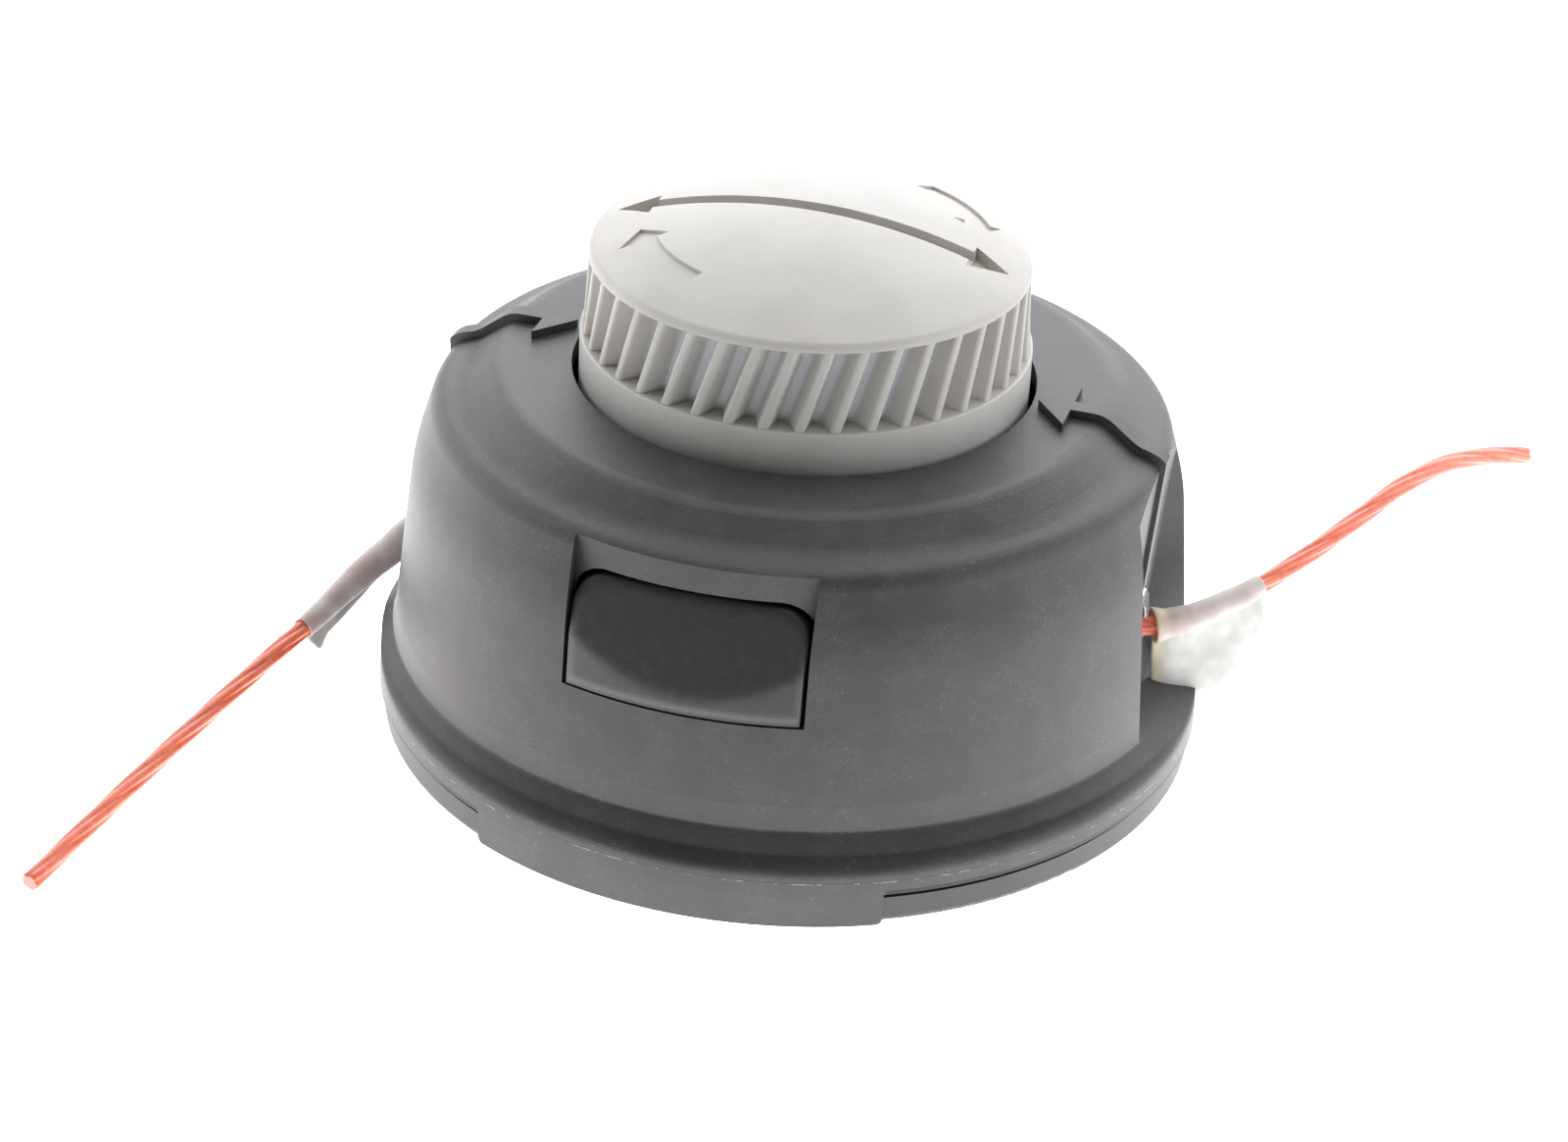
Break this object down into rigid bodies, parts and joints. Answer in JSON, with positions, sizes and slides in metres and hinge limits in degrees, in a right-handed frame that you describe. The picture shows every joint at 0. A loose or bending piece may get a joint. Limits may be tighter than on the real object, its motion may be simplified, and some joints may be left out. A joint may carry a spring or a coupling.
{
  "type": "trimmer head",
  "caption": "Round bump-feed head for a string trimmer: stepped cover with side latches and line exits, a sprung ribbed knob on top, and bare line ends.",
  "frame": {"origin": "on the spin axis, at the mounting face that the head stands on", "axes": "+Z along the spin axis towards the knob, +X through one line exit, -Y through the front latch"},
  "size_m": [0.1592, 0.138, 0.0703],
  "materials": {
    "base_plastic": "moulded matte",
    "cover_plastic": "moulded matte, fine spark texture",
    "latch_plastic": "moulded, smoother than the cover",
    "knob_plastic": "satin moulded",
    "spool_plastic": "moulded",
    "steel": "machined",
    "eyelet_metal": "polished",
    "bush_brass": "turned",
    "nylon": "translucent, glossy, twisted",
    "paper_tape": "thin matte paper"
  },
  "bodies": {
    "housing": {"base_housing": "base_plastic", "arbor": "steel", "arbor_plate": "steel", "arbor_screws": "steel", "cover": "cover_plastic", "eyelet_right": "eyelet_metal", "eyelet_left": "eyelet_metal", "spring": "steel", "line_right": "nylon", "line_left": "nylon", "tape_right": "paper_tape", "tape_left": "paper_tape"},
    "spring_plate": {"thrust_washer": "steel"},
    "spool": {"spool": "spool_plastic", "spool_bush": "bush_brass", "line_winding": "nylon", "knob": "knob_plastic", "knob_screws": "steel"},
    "latch_front": {"latch_front": "latch_plastic"},
    "latch_back": {"latch_back": "latch_plastic"}
  },
  "joints": [
    {"name": "bump_slide", "type": "slide", "parent": "housing", "child": "spring_plate", "axis": [0, 0, -1], "range_m": [0, 0.0045], "stiffness_N_per_m": 1500, "springref_m": -0.01, "deforming": ["spring"]},
    {"name": "spool_spin", "type": "hinge", "parent": "spring_plate", "child": "spool", "pos_m": [0, 0, 0.0277], "axis": [0, 0, 1], "continuous": true},
    {"name": "latch_front_press", "type": "hinge", "parent": "housing", "child": "latch_front", "pos_m": [0, -0.0451, 0.0065], "axis": [-1, 0, 0], "range_deg": [0, 8], "stiffness_Nm_per_rad": 2, "springref_deg": -5.73},
    {"name": "latch_back_press", "type": "hinge", "parent": "housing", "child": "latch_back", "pos_m": [0, 0.0451, 0.0065], "axis": [1, 0, 0], "range_deg": [0, 8], "stiffness_Nm_per_rad": 2, "springref_deg": -5.73}
  ]
}
